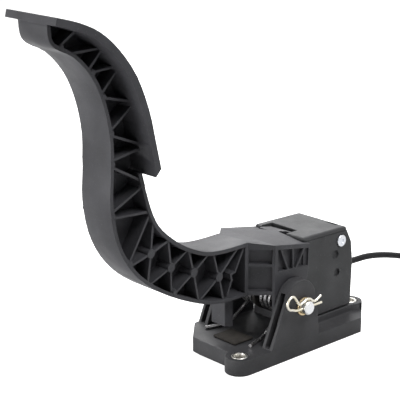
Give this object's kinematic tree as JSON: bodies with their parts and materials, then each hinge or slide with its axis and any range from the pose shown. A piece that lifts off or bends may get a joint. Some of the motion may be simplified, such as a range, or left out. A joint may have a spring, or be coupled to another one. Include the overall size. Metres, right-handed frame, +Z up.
{
  "type": "electronic foot pedal",
  "caption": "Floor-mounted electronic foot pedal: a tall S-shaped ribbed arm on a black base, with return springs, a sensor housing and a thin round cable.",
  "frame": {"origin": "on the base's underside, straight below the pivot pin, in the middle plane", "axes": "+X to the rear, where the cable leaves; +Y to the far side, away from the pin's spring clip; +Z up"},
  "size_m": [0.4817, 0.125, 0.2651],
  "materials": {
    "arm_plastic": "moulded, satin",
    "base_plastic": "moulded, matt",
    "housing_plastic": "moulded, matt",
    "sleeve_steel": "turned steel",
    "pin_steel": "ground and zinc plated",
    "yellow_zinc": "yellow passivated zinc",
    "clip_wire": "bright plated wire",
    "spring_steel": "drawn spring wire",
    "bearing_plastic": "plain bearing plastic",
    "rubber": "matt",
    "screw_steel": "bright zinc plated",
    "circuit_board": "solder mask",
    "magnet": "nickel plated",
    "chip": "moulded epoxy",
    "cable_jacket": "satin jacket"
  },
  "bodies": {
    "base_unit": {"base": "base_plastic", "sleeve_bush_front": "sleeve_steel", "sleeve_bush_rear_near": "sleeve_steel", "sleeve_bush_rear_far": "sleeve_steel", "pivot_pin": "pin_steel", "pin_washer": "yellow_zinc", "retaining_clip": "clip_wire", "return_spring_near": "spring_steel", "return_spring_far": "spring_steel", "spring_spool": "bearing_plastic", "floor_pad": "rubber", "idle_bumper": "rubber", "sensor_housing": "housing_plastic", "housing_cover": "housing_plastic", "cover_screw_near": "screw_steel", "cover_screw_far": "screw_steel", "housing_screw_1": "screw_steel", "housing_screw_2": "screw_steel", "housing_screw_3": "screw_steel", "housing_screw_4": "screw_steel", "sensor_shaft": "pin_steel", "sensor_board": "circuit_board", "sensor_chip": "chip", "cable_gland": "rubber", "cable": "cable_jacket", "cable_coil": "cable_jacket", "connector": "housing_plastic"},
    "pedal": {"pedal_arm": "arm_plastic", "arm_bush_near": "bearing_plastic", "arm_bush_far": "bearing_plastic"},
    "rotor": {"sensor_rotor": "bearing_plastic", "sensor_magnet": "magnet"}
  },
  "joints": [
    {"name": "pedal_hinge", "type": "hinge", "parent": "base_unit", "child": "pedal", "pos_m": [0, 0, 0.0386], "axis": [0, -1, 0], "range_deg": [0, 15], "stiffness_Nm_per_rad": 3, "springref_deg": -44.98, "deforming": ["return_spring_near", "return_spring_far"]},
    {"name": "rotor_hinge", "type": "hinge", "parent": "base_unit", "child": "rotor", "pos_m": [0.034, 0, 0.072], "axis": [0, -1, 0], "range_deg": [-33, 1]}
  ],
  "couplings": [
    {"joint": "rotor_hinge", "follows": "pedal_hinge", "ratio": -2.139}
  ]
}
